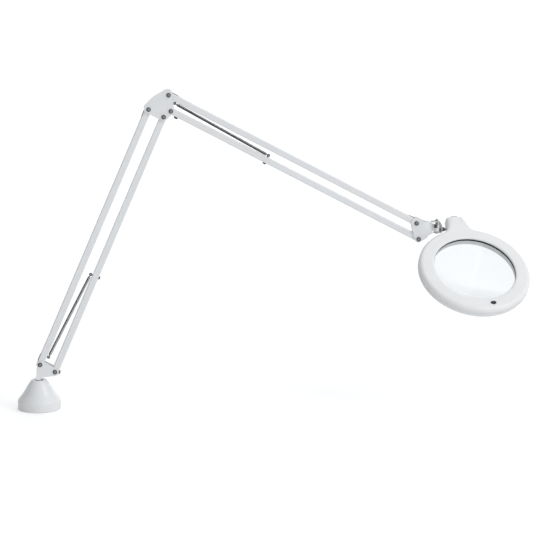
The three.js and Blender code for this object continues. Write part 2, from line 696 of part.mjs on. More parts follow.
function makeHead(yoke) {
  const tilting = frame(yoke, new THREE.Vector3(BOSS_OFFSET, 0, 0), { x: rad(HEAD_TILT) });
  const head = frame(tilting, new THREE.Vector3(0, -BOSS_REACH, -BOSS_RISE));
  const split = 0.15;
  const upperEdge = PARTING_Z + split;
  const lowerEdge = PARTING_Z - split;
  const edgeR = 6.6;

  const ring = turned([
    [OPENING_R, BOTTOM_Z + 1],
    [OPENING_R + 1, BOTTOM_Z + 0.2],
    [RING_R - edgeR, BOTTOM_Z],
    ...arc([RING_R - edgeR, BOTTOM_Z + edgeR], edgeR, -70, 0, 3),
    ...arc([RING_R - edgeR, TOP_Z - 0.5 - edgeR], edgeR, 0, 75, 3),
    [OPENING_R + 4, TOP_Z],
    [OPENING_R + 0.9, TOP_Z - 0.3],
    [OPENING_R, TOP_Z - 1.2],
  ]);
  const body = join(ring, neckSolid());
  const wide = 200;
  const above = block([-wide, -wide, upperEdge], [wide, wide, wide]);
  const below = block([-wide, -wide, -wide], [wide, wide, lowerEdge]);
  const pinHole = join(
    rod(SCREW_HOLE_R, [-30, BOSS_REACH, BOSS_RISE], [0, BOSS_REACH, BOSS_RISE], 16),
    rod(3.7, [-30, BOSS_REACH, BOSS_RISE], [-21.2, BOSS_REACH, BOSS_RISE], 16),
  );
  const annulus = (r0, r1, z0, z1) =>
    turned([
      [r0, z0],
      [r1, z0],
      [r1, z1],
      [r0, z1],
    ]);
  const lensSeatZ = TOP_Z - 3.6;
  const pocket = (z0, z1) =>
    block([NECK_X - 10.5, 74, z0], [NECK_X + 10.5, BOSS_END - 3, z1]);
  const buttonZ = [0.6, 5.6];
  const buttonSlot = block(
    [NECK_X - 6.4, BOSS_END - 5, buttonZ[0] - 0.4],
    [NECK_X + 6.4, BOSS_END + 3, buttonZ[1] + 0.4],
  );

  piece(head, "head_upper_housing", whitePlastic, cut(
    body.intersect(above),
    annulus(OPENING_R - 1, LENS_R + 0.5, upperEdge - 1, lensSeatZ),
    annulus(LENS_R + 2.7, RING_R - 2.4, upperEdge - 1, 3),
    annulus(LENS_R + 2.7, RING_R - 5.6, 2.5, 6.6),
    pocket(upperEdge - 1, 6.2),
    buttonSlot,
    pinHole,
  ));
  piece(head, "head_lower_housing", whitePlastic, cut(
    body.intersect(below),
    annulus(OPENING_R + 3.6, RING_R - 7, BOTTOM_Z - 1, -4.6),
    annulus(OPENING_R + 4.4, RING_R - 2.6, -3, lowerEdge + 1),
    pocket(-6.6, lowerEdge + 1),
    pinHole,
  ));

  const lensEdge = [lensSeatZ - GAP - 2.4, lensSeatZ - GAP];
  const sag = 3.8;
  const bulge = (edgeZ, way) =>
    Array.from({ length: 5 }, (_, i) => {
      const r = (LENS_R * i) / 4;
      return [r, edgeZ + way * sag * (1 - (r / LENS_R) ** 2)];
    });
  piece(head, "lens", glass, turned([
    ...bulge(lensEdge[0], -1),
    ...bulge(lensEdge[1], 1).reverse(),
  ]));
  piece(head, "lens_retainer", blackRubber,
    annulus(OPENING_R, LENS_R, lowerEdge + 0.6, lensEdge[0] - GAP));
  piece(head, "led_board", boardWhite,
    annulus(OPENING_R + 3.9, RING_R - 7.3, -6.4, -4.9));
  piece(head, "diffuser", diffuserWhite,
    annulus(OPENING_R + 3.9, RING_R - 7.3, -9.3, -7.9));
  piece(head, "driver_board", boardGreen,
    block([NECK_X - 9, 84, -6.2], [NECK_X + 9, 102, -4.6]));
  piece(head, "switch_button", greyPlastic, block(
    [NECK_X - 6, BOSS_END - 6, buttonZ[0]],
    [NECK_X + 6, BOSS_END + 1.4, buttonZ[1]],
  ));
  const badge = new THREE.Shape();
  badge.absellipse(8.6, -70.6, 4.4, 3, 0, 2 * Math.PI, false, 0);
  piece(head, "badge", darkSteel, prism(badge, TOP_Z + 0.15, TOP_Z + 0.75, 6));
}

// ---- assembly -----------------------------------------------------------------------
makeBase();
makeShoulder();
makeArm({
  name: "lower",
  outerBar: "lower_rear",
  innerBar: "lower_front",
  origin: SHOULDER,
  lean: LOWER_LEAN,
  width: LOWER_WIDTH,
  step: LOWER_STEP,
  boltAt: LOWER_BOLT_AT,
  stopAt: 1,
});
makeElbow();
makeArm({
  name: "upper",
  outerBar: "upper_top",
  innerBar: "upper_bottom",
  origin: UPPER_TOP,
  lean: UPPER_LEAN,
  width: UPPER_WIDTH,
  step: UPPER_STEP,
  boltAt: UPPER_BOLT_AT,
  stopAt: 11.6,
});
makeWrist();
makeHead(makeYoke());

export default lamp;
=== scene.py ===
import json
import math

import bmesh
import bpy
from mathutils import Matrix, Vector


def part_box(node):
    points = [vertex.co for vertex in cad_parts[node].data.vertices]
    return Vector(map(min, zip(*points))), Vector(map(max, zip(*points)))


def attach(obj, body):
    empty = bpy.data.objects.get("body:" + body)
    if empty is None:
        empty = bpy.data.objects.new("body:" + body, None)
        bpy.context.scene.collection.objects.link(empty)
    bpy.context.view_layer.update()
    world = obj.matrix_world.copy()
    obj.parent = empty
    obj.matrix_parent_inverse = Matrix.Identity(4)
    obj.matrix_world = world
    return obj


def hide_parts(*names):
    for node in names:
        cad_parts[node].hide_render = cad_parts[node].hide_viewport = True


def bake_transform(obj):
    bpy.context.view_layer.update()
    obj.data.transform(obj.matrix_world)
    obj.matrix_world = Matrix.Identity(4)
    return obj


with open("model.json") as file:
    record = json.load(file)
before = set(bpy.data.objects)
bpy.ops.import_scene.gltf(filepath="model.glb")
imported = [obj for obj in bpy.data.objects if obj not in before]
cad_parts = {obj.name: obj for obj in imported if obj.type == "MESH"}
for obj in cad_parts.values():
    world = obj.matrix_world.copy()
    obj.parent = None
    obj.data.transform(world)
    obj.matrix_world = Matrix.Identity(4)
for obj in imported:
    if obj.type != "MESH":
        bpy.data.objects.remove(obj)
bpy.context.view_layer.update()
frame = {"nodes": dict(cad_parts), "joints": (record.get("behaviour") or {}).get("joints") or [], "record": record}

# Magnifying lamp: white enamelled parallelogram arm on a small conical base, with a round
# lighted head. Lengths below are in millimetres in the frame of the piece; place() turns
# them into metres in the row's frame, from the joints' places.
MM = 0.001
JOINTS = {joint["name"]: joint for joint in frame["joints"]}
BODY_OF = {
    node: body
    for body, nodes in frame["record"]["behaviour"]["bodies"].items()
    for node in nodes
}
SLOT_OF = {row["node"]: row["material_slot"] for row in frame["record"]["subparts"]}


# ---- frames -------------------------------------------------------------------------
def joint_place(name):
    return Vector(JOINTS[name]["pos_m"])


def axes_frame(origin, x, y, z):
    """A matrix from millimetres in a piece's own frame to the row's frame."""
    turn = Matrix((x, y, z)).transposed().to_4x4()
    return Matrix.Translation(origin) @ turn @ Matrix.Scale(MM, 4)


def bar_frame(start, end):
    """Origin at a bar's first pivot, Z along the bar and Y across the arm."""
    along = (end - start).normalized()
    across = Vector((0, 1, 0))
    return axes_frame(start, across.cross(along), across, along)


def turned(x, y, z):
    """A turn that takes the three axes onto these."""
    return Matrix((Vector(x), Vector(y), Vector(z))).transposed().to_4x4()


Z_ONTO_X = turned((0, 0, -1), (0, 1, 0), (1, 0, 0))
Z_ONTO_MINUS_Y = turned((1, 0, 0), (0, 0, 1), (0, -1, 0))
UPRIGHT = axes_frame(Vector(), Vector((1, 0, 0)), Vector((0, 1, 0)), Vector((0, 0, 1)))
LOWER_REAR = bar_frame(joint_place("lower_arm"), joint_place("elbow_level"))
LOWER_FRONT = Matrix.Translation(
    joint_place("lower_front_link") - joint_place("lower_arm")
) @ LOWER_REAR
UPPER_TOP = bar_frame(joint_place("upper_arm"), joint_place("wrist_level"))
UPPER_BOTTOM = Matrix.Translation(
    joint_place("upper_bottom_link") - joint_place("upper_arm")
) @ UPPER_TOP
LINK = (joint_place("elbow_level") - joint_place("lower_arm")).length / MM

TILT_AXIS = Vector(JOINTS["head_tilt"]["axis"])
TILT_PLACE = joint_place("head_tilt")
TO_NECK = -Vector(JOINTS["switch_press"]["axis"])
LENS_REACH = 90.2  # lens centre to the tilt axis, along the neck
LENS_DROP = 1.0  # and below it
PAN_PLACE = joint_place("head_pan")
YOKE = axes_frame(PAN_PLACE, TILT_AXIS, Vector((0, 0, 1)).cross(TILT_AXIS), Vector((0, 0, 1)))
FACING = TILT_AXIS.cross(TO_NECK)
LENS_PLACE = TILT_PLACE - (TO_NECK * LENS_REACH + FACING * LENS_DROP) * MM
HEAD = axes_frame(LENS_PLACE, TILT_AXIS, TO_NECK, FACING)


# ---- materials ----------------------------------------------------------------------
def noise(tree, scale, detail=3.0, stretch=(1, 1, 1)):
    """The factor of a noise in the piece's own coordinates; scale is per metre."""
    coordinates = tree.nodes.new("ShaderNodeTexCoord")
    mapping = tree.nodes.new("ShaderNodeMapping")
    mapping.inputs["Scale"].default_value = stretch
    texture = tree.nodes.new("ShaderNodeTexNoise")
    texture.inputs["Scale"].default_value = scale
    texture.inputs["Detail"].default_value = detail
    tree.links.new(coordinates.outputs["Object"], mapping.inputs["Vector"])
    tree.links.new(mapping.outputs["Vector"], texture.inputs["Vector"])
    return texture.outputs["Fac"]


def ranged(tree, value, low, high, to_low, to_high):
    """A socket's value taken from one range to another, held at its ends."""
    node = tree.nodes.new("ShaderNodeMapRange")
    node.inputs["From Min"].default_value = low
    node.inputs["From Max"].default_value = high
    node.inputs["To Min"].default_value = to_low
    node.inputs["To Max"].default_value = to_high
    tree.links.new(value, node.inputs["Value"])
    return node.outputs["Result"]


def math_node(tree, operation, first, second):
    node = tree.nodes.new("ShaderNodeMath")
    node.operation = operation
    tree.links.new(first, node.inputs[0])
    tree.links.new(second, node.inputs[1])
    return node.outputs["Value"]


def surface(
    name,
    colour,
    roughness,
    metallic=0.0,
    tint=0.04,
    tint_scale=45,
    spread=0.06,
    grain_scale=1800,
    grain_depth=0.00002,
    stretch=(1, 1, 1),
    **sockets,
):
    """A surface whose colour, gloss and grain vary from place to place."""
    made = bpy.data.materials.new(name)
    made.use_nodes = True
    tree = made.node_tree
    shader = tree.nodes["Principled BSDF"]
    shader.inputs["Metallic"].default_value = metallic
    for socket, value in sockets.items():
        shader.inputs[socket.replace("_", " ")].default_value = value

    ramp = tree.nodes.new("ShaderNodeValToRGB")
    ramp.color_ramp.elements[0].position = 0.3
    ramp.color_ramp.elements[1].position = 0.7
    ramp.color_ramp.elements[0].color = [c * (1 - tint) for c in colour] + [1]
    ramp.color_ramp.elements[1].color = [min(1, c * (1 + tint)) for c in colour] + [1]
    tree.links.new(noise(tree, tint_scale, 4, stretch), ramp.inputs["Fac"])
    tree.links.new(ramp.outputs["Color"], shader.inputs["Base Color"])

    patches = noise(tree, tint_scale * 4, 5, stretch)
    gloss = ranged(tree, patches, 0, 1, roughness - spread, roughness + spread)
    tree.links.new(gloss, shader.inputs["Roughness"])

    bump = tree.nodes.new("ShaderNodeBump")
    bump.inputs["Strength"].default_value = 0.5
    bump.inputs["Distance"].default_value = grain_depth
    tree.links.new(noise(tree, grain_scale, 2, stretch), bump.inputs["Height"])
    tree.links.new(bump.outputs["Normal"], shader.inputs["Normal"])
    return made


MATERIALS = {
    "white_paint": surface(
        "white_enamel", (0.83, 0.84, 0.85), 0.34, tint=0.02, spread=0.05,
        grain_scale=700, grain_depth=0.00003, Coat_Weight=0.25, Coat_Roughness=0.15,
    ),
    "white_plastic": surface(
        "white_abs", (0.86, 0.865, 0.87), 0.38, tint=0.015, spread=0.05,
        grain_scale=2600, grain_depth=0.000012,
    ),
    "zinc_steel": surface(
        "zinc_plate", (0.34, 0.345, 0.35), 0.45, 0.9, tint=0.15, tint_scale=500,
        grain_scale=3000, grain_depth=0.00001,
    ),
    "dark_steel": surface(
        "blackened_steel", (0.10, 0.103, 0.108), 0.42, 0.8, tint=0.25, tint_scale=320,
        grain_scale=2400, grain_depth=0.000015,
    ),
    "bright_steel": surface(
        "bright_strip", (0.62, 0.63, 0.635), 0.42, 0.75, tint=0.06, tint_scale=260,
        grain_scale=1600, grain_depth=0.000015, stretch=(1, 1, 0.2),
    ),
    "spring_steel": surface(
        "spring_wire", (0.13, 0.132, 0.135), 0.42, 0.7, tint=0.2, tint_scale=700,
        grain_scale=4000, grain_depth=0.000008, stretch=(1, 1, 0.3),
    ),
    "black_rubber": surface(
        "black_rubber", (0.028, 0.028, 0.029), 0.72, tint=0.25, tint_scale=200,
        grain_scale=2200, grain_depth=0.00004,
    ),
    "lead_sheath": surface(
        "lead_sheath", (0.03, 0.03, 0.032), 0.5, tint=0.2, tint_scale=300,
        grain_scale=2500, grain_depth=0.00002,
    ),
    "grey_plastic": surface(
        "grey_plastic", (0.42, 0.43, 0.43), 0.5, tint=0.05, tint_scale=200,
        grain_scale=3000, grain_depth=0.00002,
    ),
    "lens_glass": surface(
        "lens_glass", (0.885, 0.905, 0.915), 0.025, tint=0.006, tint_scale=25, spread=0.015,
        grain_scale=30, grain_depth=0.000001, Transmission_Weight=1.0, IOR=1.5,
    ),
    "board_white": surface(
        "board_white", (0.78, 0.78, 0.76), 0.45, tint=0.03, tint_scale=300,
        grain_scale=2500, grain_depth=0.00001,
    ),
    "board_green": surface(
        "board_green", (0.03, 0.16, 0.07), 0.4, tint=0.15, tint_scale=400,
        grain_scale=2500, grain_depth=0.00001,
    ),
    "diffuser_white": surface(
        "frosted_diffuser", (0.90, 0.90, 0.87), 0.4, tint=0.01, tint_scale=120,
        grain_scale=3500, grain_depth=0.00002, Transmission_Weight=0.45, IOR=1.49,
    ),
    "badge_metal": surface(
        "badge_metal", (0.06, 0.062, 0.065), 0.35, 0.8, tint=0.15, tint_scale=900,
        grain_scale=5000, grain_depth=0.000008, stretch=(1, 0.1, 1),
    ),
}
PHOSPHOR = surface(
    "led_phosphor", (0.80, 0.62, 0.12), 0.45, tint=0.08, tint_scale=900,
    grain_scale=4000, grain_depth=0.00001,
)


# ---- mesh helpers -------------------------------------------------------------------
def place(name, verts, faces, matrix, slot, smooth=38):
    """A mesh object from points in a piece's own frame. Faces past smooth degrees stay sharp."""
    mesh = bpy.data.meshes.new(name)
    mesh.from_pydata([Vector(v) for v in verts], [], [list(f) for f in faces])
    made = bmesh.new()
    made.from_mesh(mesh)
    bmesh.ops.remove_doubles(made, verts=made.verts, dist=1e-4)
    bmesh.ops.recalc_face_normals(made, faces=made.faces)
    made.to_mesh(mesh)
    made.free()
    mesh.transform(matrix)
    mesh.materials.append(MATERIALS[slot])
    mesh.shade_smooth()
    mesh.set_sharp_from_angle(angle=math.radians(smooth))
    piece = bpy.data.objects.new(name, mesh)
    bpy.context.scene.collection.objects.link(piece)
    return piece


def stand_for(piece, *nodes):
    """The piece rides on its nodes' body and is shown in their place."""
    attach(piece, BODY_OF[nodes[0]])
    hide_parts(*nodes)
    return piece


def rounded(corners, radius, steps=4):
    """A closed outline with round corners; a corner's third number is its own radius."""
    outline = []
    for i, (x, y, *own) in enumerate(corners):
        here = Vector((x, y))
        before = Vector(corners[i - 1][:2]) - here
        after = Vector(corners[(i + 1) % len(corners)][:2]) - here
        angle = before.angle(after)
        size = own[0] if own else radius
        if size <= 0 or angle > math.radians(178):
            outline.append((x, y))
            continue
        reach = min(size / math.tan(angle / 2), 0.49 * min(before.length, after.length))
        middle = (before.normalized() + after.normalized()).normalized()
        centre = here + middle * (reach / math.cos(angle / 2))
        first = here + before.normalized() * reach - centre
        last = here + after.normalized() * reach - centre
        start = math.atan2(first.y, first.x)
        turn = (math.atan2(last.y, last.x) - start + math.pi) % math.tau - math.pi
        for k in range(steps + 1):
            a = start + turn * k / steps
            spot_x = centre.x + first.length * math.cos(a)
            spot_y = centre.y + first.length * math.sin(a)
            outline.append((spot_x, spot_y))
    return outline


def lathe(profile, sides=96):
    """Points and faces of a closed profile of radius and height turned about Z."""
    verts = []
    rings = []
    for r, z in profile:
        first = len(verts)
        if r < 1e-6:
            verts.append((0, 0, z))
            rings.append([first] * sides)
            continue
        for i in range(sides):
            a = math.tau * i / sides
            verts.append((r * math.cos(a), r * math.sin(a), z))
        rings.append(list(range(first, first + sides)))
    faces = []
    for low, high in zip(rings, rings[1:] + rings[:1]):
        for i in range(sides):
            j = (i + 1) % sides
            corners = list(dict.fromkeys([low[i], low[j], high[j], high[i]]))
            if len(corners) > 2:
                faces.append(corners)
    return verts, faces


def skin(loops, size, closed=False):
    """Faces from each loop of points to the next, every loop of the same size."""
    return [
        (i * size + k, i * size + (k + 1) % size,
         (i + 1) % loops * size + (k + 1) % size, (i + 1) % loops * size + k)
        for i in range(loops if closed else loops - 1)
        for k in range(size)
    ]


def capped(loops, size):
    """The same faces, with one more over each end."""
    return skin(loops, size) + [range(size), range((loops - 1) * size, loops * size)]


def tube(path, radius, sides=10):
    """Points and faces of a closed tube along a path; radius is one number or one per point."""
    radii = radius if isinstance(radius, list) else [radius] * len(path)
    verts = []
    normal = Vector((0.31, 0.92, 0.17))
    for i, point in enumerate(path):
        along = (path[min(i + 1, len(path) - 1)] - path[max(i - 1, 0)]).normalized()
        normal = (normal - along * normal.dot(along)).normalized()
        side = along.cross(normal)
        for k in range(sides):
            a = math.tau * k / sides
            verts.append(point + (normal * math.cos(a) + side * math.sin(a)) * radii[i])
    return verts, capped(len(path), sides)


def both(*shapes):
    """Several shapes' points and faces as one."""
    verts = []
    faces = []
    for more_verts, more_faces in shapes:
        first = len(verts)
        verts += [Vector(v) for v in more_verts]
        faces += [[first + i for i in face] for face in more_faces]
    return verts, faces


def moved(shape, matrix):
    verts, faces = shape
    return [matrix @ Vector(v) for v in verts], faces


def prism(outline, low, high):
    """Points and faces of an outline in X and Y given height."""
    verts = [(x, y, z) for z in (low, high) for x, y in outline]
    return verts, capped(2, len(outline))


def box_outline(x, y, middle=(0, 0)):
    cx, cy = middle
    return [(cx - x, cy - y), (cx + x, cy - y), (cx + x, cy + y), (cx - x, cy + y)]


def bevel_edges(piece, width, segments=2, angle=28):
    """Rounds a piece's sharp edges; width is in millimetres."""
    made = bmesh.new()
    made.from_mesh(piece.data)
    sharp = [
        edge for edge in made.edges
        if len(edge.link_faces) == 2 and edge.calc_face_angle() > math.radians(angle)
    ]
    bmesh.ops.bevel(
        made, geom=sharp, offset=width * MM, segments=segments, profile=0.5,
        affect="EDGES", clamp_overlap=True,
    )
    made.to_mesh(piece.data)
    made.free()
    piece.data.shade_smooth()
    piece.data.set_sharp_from_angle(angle=math.radians(50))
    weighted = piece.modifiers.new("weighted_normals", "WEIGHTED_NORMAL")
    weighted.keep_sharp = True
    return piece


def cut(piece, shape, matrix):
    """Cuts a shape out of a piece."""
    cutter = place("cutter", *shape, matrix, "white_paint")
    boolean = piece.modifiers.new("cut", "BOOLEAN")
    boolean.object = cutter
    boolean.operation = "DIFFERENCE"
    boolean.solver = "EXACT"
    result = piece.evaluated_get(bpy.context.evaluated_depsgraph_get())
    mesh = bpy.data.meshes.new_from_object(result)
    piece.modifiers.remove(boolean)
    piece.data = mesh
    bpy.data.objects.remove(cutter)


def dressed(node, width=0.25, segments=2):
    """A CAD piece's shape with its triangles merged into flat faces and its edges rounded."""
    made = bmesh.new()
    made.from_mesh(frame["nodes"][node].data)
    bmesh.ops.remove_doubles(made, verts=made.verts, dist=1e-6)
    bmesh.ops.dissolve_limit(
        made, angle_limit=math.radians(1), verts=made.verts, edges=made.edges
    )
    mesh = bpy.data.meshes.new(node + "_finished")
    made.to_mesh(mesh)
    made.free()
    mesh.materials.append(MATERIALS[SLOT_OF[node]])
    piece = bpy.data.objects.new(node + "_finished", mesh)
    bpy.context.scene.collection.objects.link(piece)
    bevel_edges(piece, width, segments)
    return stand_for(piece, node)


# ---- base ---------------------------------------------------------------------------
BASE_R = 32.2
COVER_LOW = 0.4


def make_base():
    cover = rounded([
        (BASE_R - 0.2, COVER_LOW, 0.5),
        (BASE_R, 14.2, 6.5),
        (24.3, 24.2, 22),
        (14.6, 40.2, 14),
        (11.2, 44.9, 0.9),
        (6.2, 44.9, 0.5),
        (6.2, 41.8, 0.2),
        (11, 40, 2),
        (24, 19, 3),
        (29.6, 11, 3),
        (29.6, COVER_LOW, 0.4),
    ], 1, 6)
    stand_for(place("base_cover_shell", *lathe(cover, 128), UPRIGHT, "white_paint"), "base_cover")
    pad = rounded([(0, 0, 0), (29.3, 0, 0.3), (29.3, 1.5, 0.3), (0, 1.5, 0)], 0.3, 3)
    stand_for(place("foot_pad_disc", *lathe(pad, 128), UPRIGHT, "black_rubber"), "foot_pad")
    bush = rounded([
        (4.3, 40.9), (5.9, 40.9), (5.9, 43.4), (4.3, 43.4),
    ], 0.35, 4)
    stand_for(place("stem_bush_ring", *lathe(bush, 64), UPRIGHT, "black_rubber"), "stem_bush")
    stem = rounded([
        (0, 8.6, 0), (3.6, 8.6, 0.3), (4, 9.2, 0.3), (4, 44, 0.3), (4.8, 44, 0.3),
        (4.8, 45.3, 0.3), (0, 45.3, 0),
    ], 0.3, 3)
    stand_for(place("swivel_stem_spindle", *lathe(stem, 64), UPRIGHT, "zinc_steel"), "swivel_stem")
    dressed("base_plate", 0.4)
    dressed("stem_socket", 0.3)


# ---- fasteners ----------------------------------------------------------------------
def threaded(r, start, end, pitch=0.7):
    """Profile points of a thread's ridges along a shank, from start to end."""
    depth = 0.28
    turns = int(abs(end - start) / pitch)
    way = math.copysign(pitch, end - start)
    points = []
    for i in range(turns):
        s = start + way * i
        points += [(r - depth, s), (r, s + way * 0.5)]
    return points + [(r - depth, start + way * turns)]


def cross_recess(depth):
    """The shape of a crossed driver's recess, to cut out of a head whose top is at 0."""
    long = 1.6
    thin = 0.42
    quarter = [(long, -thin), (long, thin), (thin, thin)]
    cross = []
    for x, y in ((1, 0), (0, 1), (-1, 0), (0, -1)):
        cross += [(u * x - v * y, u * y + v * x) for u, v in quarter]
    return prism(rounded(cross, 0.15, 2), -depth, 1)


def pivot_screw(node):
    """A dome head screw along Y with a crossed recess; its washer's shape is given back."""
    low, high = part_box(node)
    length = (high.y - low.y) / MM
    head_height = 2.2
    shank_r = 2.2
    recess_depth = 1
    thread_length = 5.2
    profile = rounded([
        (0, 0, 0),
        (1.3, -0.05, 1.2),
        (shank_r, -0.8, 0.7),
        (shank_r, -3, 0),
    ], 0.3, 4)
    profile += threaded(shank_r, thread_length - length, -length + 0.5)
    profile += [(1.5, -length), (0, -length)]
    middle = Vector(((low.x + high.x) / 2, low.y, (low.z + high.z) / 2))
    matrix = axes_frame(middle, Vector((1, 0, 0)), Vector((0, 0, 1)), Vector((0, -1, 0)))
    piece = place(node + "_dome_head", *lathe(profile, 40), matrix, SLOT_OF[node])
    turn = Matrix.Rotation(0.3 + 7 * (low.x + low.z), 4, "Z")
    cut(piece, cross_recess(recess_depth), matrix @ turn)
    stand_for(piece, node)
    hole_r = shank_r + 0.05
    washer_r = 3.35
    washer = rounded([
        (hole_r, -head_height), (washer_r, -head_height), (washer_r, -1.5), (2.9, -1.05),
        (2.5, -1.05), (hole_r, -1.4),
    ], 0.25, 3)
    return moved(lathe(washer, 40), UPRIGHT.inverted() @ matrix)


def make_fasteners():
    for bracket in ("shoulder", "elbow", "wrist"):
        nodes = [node for node in sorted(BODY_OF) if node.startswith(bracket + "_")]
        washers = [pivot_screw(node) for node in nodes if node.endswith("_screw")]
        piece = place(f"{bracket}_washers", *both(*washers), UPRIGHT, "dark_steel")
        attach(piece, bracket)
        for node in nodes:
            if node.endswith("_nut"):
                dressed(node, 0.3)


# ---- arms ---------------------------------------------------------------------------
WIRE_R = 0.62
COIL_R = 1.8
PITCH = 1.8
HOOK_REACH = 2.2
EYE_OFFSET = 2.7  # eye centre to the face of its bar
HOOK_AT = 14.3


def spring_path(start, end):
    """The wire's centre line: a hook through each eye and a close coil between them."""
    along = (end - start).normalized()
    up = Vector((0, 1, 0))
    side = up.cross(along)
    loop_r = 1.55
    length = (end - start).length
    coil_start = HOOK_REACH + 1.2
    coil_end = length - HOOK_REACH - 1.2
    turns = (coil_end - coil_start) / PITCH
    steps = int(turns * 12)

    def loop(centre, way):
        return [
            centre + along * way * loop_r * math.cos(a) + up * loop_r * math.sin(a)
            for a in (math.radians(40 + 23 * k) for k in range(13))
        ]

    near = loop(start + along * (loop_r - 0.55), 1)
    coil = []
    for k in range(steps + 1):
        a = math.tau * k / 12
        ease = min(1, k / 10, (steps - k) / 10)
        s = coil_start + (coil_end - coil_start) * k / steps
        around = up * math.cos(a) + side * math.sin(a)
        coil.append(start + along * s + around * COIL_R * (0.35 + 0.65 * ease))
    far = loop(end - along * (loop_r - 0.55), -1)
    return list(reversed(near)) + coil + far


def eye_fitting(face, z, shank_end=None):
    """A screw eye standing on a bar's face, with a threaded end past the other face."""
    way = math.copysign(1, face)
    centre = Vector((face + way * EYE_OFFSET, 0, z))
    ring = [
        centre + Vector((math.cos(a), 0, math.sin(a))) * 1.8
        for a in (math.tau * k / 28 for k in range(29))
    ]
    verts, faces = tube(ring, 0.68, 10)
    faces = faces[:-2]
    inner = face - way * 2.2 if shank_end is None else shank_end
    reach = abs(face + way * 0.9 - inner)
    profile = [(0, 0), (0.95, 0), (1.35, 0.8), (1.35, 1.1)]
    if shank_end is None:
        profile += threaded(1.35, 1.4, reach - 0.4, 0.6)
    else:
        profile += [(1.35, reach - 3.6)] + threaded(1.35, reach - 3.5, reach - 0.4, 0.6)
    profile += [(0.9, reach), (0, reach)]
    inward = Vector((-way, 0, 0))
    turn = Matrix((Vector((0, 0, 1)), Vector((0, way, 0)), inward)).transposed().to_4x4()
    shank = moved(
        lathe(profile, 20), Matrix.Translation((face + way * 0.9, 0, z)) @ turn
    )
    return both((verts, faces), shank)


def lead_path(half, at_far_end):
    """Where the lead shows in its slot in the bar's outer wall."""
    x = -half
    route = [
        (x + 0.45, 3.8), (x + 0.4, 8.2), (x + 0.5, 12), (x + 0.9, 14.5),
        (x + 1.8, 18), (x + 3.8, 21.6), (x + 4.4, 26),
    ]
    points = [Vector((px, 0, LINK - z if at_far_end else z)) for px, z in route]
    path = []
    for i in range(len(points) - 1):
        before = points[max(i - 1, 0)]
        after = points[min(i + 2, len(points) - 1)]
        for k in range(5):
            t = k / 5
            a = points[i]
            b = points[i + 1]
            path.append(0.5 * (
                2 * a + (b - before) * t
                + (2 * before - 5 * a + 4 * b - after) * t * t
                + (3 * a - before - 3 * b + after) * t ** 3
            ))
    return path + [points[-1]]


def make_arm(name, outer_bar, inner_bar, outer, inner, width, bolt_at):
    half = width / 2
    dressed(f"{outer_bar}_bar", 0.22)
    dressed(f"{inner_bar}_bar", 0.22)

    hook = place(f"{name}_spring_screw_eye", *eye_fitting(half, HOOK_AT), outer, "dark_steel")
    stand_for(hook, f"{name}_spring_hook")
    bolt = place(
        f"{name}_spring_eye_bolt", *eye_fitting(-half, bolt_at, half + 2.5), inner, "dark_steel"
    )
    stand_for(bolt, f"{name}_spring_bolt")
    dressed(f"{name}_spring_nut", 0.25)

    start = outer @ Vector((half + EYE_OFFSET, 0, HOOK_AT))
    end = inner @ Vector((-half - EYE_OFFSET, 0, bolt_at))
    path = spring_path(start / MM, end / MM)
    coil = place(
        f"{name}_coil_spring", *tube(path, WIRE_R, 7), Matrix.Scale(MM, 4), "spring_steel", 60
    )
    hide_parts(f"{name}_spring", f"{name}_spring_end")
    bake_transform(coil)

    for end_name, at_far_end in (("start", False), ("end", True)):
        node = f"{name}_lead_{end_name}"
        shape = tube(lead_path(half, at_far_end), 1.28, 16)
        stand_for(place(node + "_sheath", *shape, outer, "lead_sheath"), node)

    node = f"{name}_stop_screw"
    low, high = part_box(node)
    to_bar = inner.inverted()
    centre = to_bar @ ((low + high) / 2)
    z = centre.z
    head = rounded([
        (0, 2.5, 0), (2.3, 2.5, 0.8), (3.1, 1.6, 0.6), (3.1, 0, 0.2), (1.3, 0, 0),
        (1.3, -1.2, 0.2), (0, -1.2, 0),
    ], 0.2, 4)
    matrix = inner @ Matrix.Translation((half + 0.3, 0, z)) @ Z_ONTO_X
    screw = place(node + "_button", *lathe(head, 32), matrix, "dark_steel")
    slot = prism(box_outline(4, 0.35), 1.9, 4)
    cut(screw, slot, matrix)
    stand_for(screw, node)


# ---- wrist and yoke -----------------------------------------------------------------
def make_lock_screw():
    """A small cross-grip screw in the side of the swivel barrel."""
    axis = Vector(JOINTS["pan_lock_turn"]["axis"])
    across = axis.cross(Vector((0, 0, 1)))
    origin = joint_place("pan_lock_turn") + axis * 4.1 * MM
    corner = math.sqrt(0.5)
    first = (across + axis.cross(across)) * corner
    matrix = axes_frame(origin, first, axis.cross(first), axis)
    arm = rounded(box_outline(3.3, 0.9), 0.7, 4)
    cross_arm = rounded(box_outline(0.9, 3.3), 0.7, 4)
    shank = lathe([(0, -1.6), (0.9, -1.6)] + threaded(1.1, -1.3, 0.2, 0.5) + [(0, 0.25)], 24)
    hub = lathe(rounded([
        (0, 0.2, 0), (1.8, 0.2, 0.2), (1.8, 2.7, 0.5), (0, 2.7, 0),
    ], 0.3, 4), 32)
    piece = place(
        "pan_lock_grip",
        *both(prism(arm, 0.25, 2.7), prism(cross_arm, 0.3, 2.65), shank, hub),
        matrix, "dark_steel",
    )
    bevel_edges(piece, 0.18)
    stand_for(piece, "pan_lock_screw")


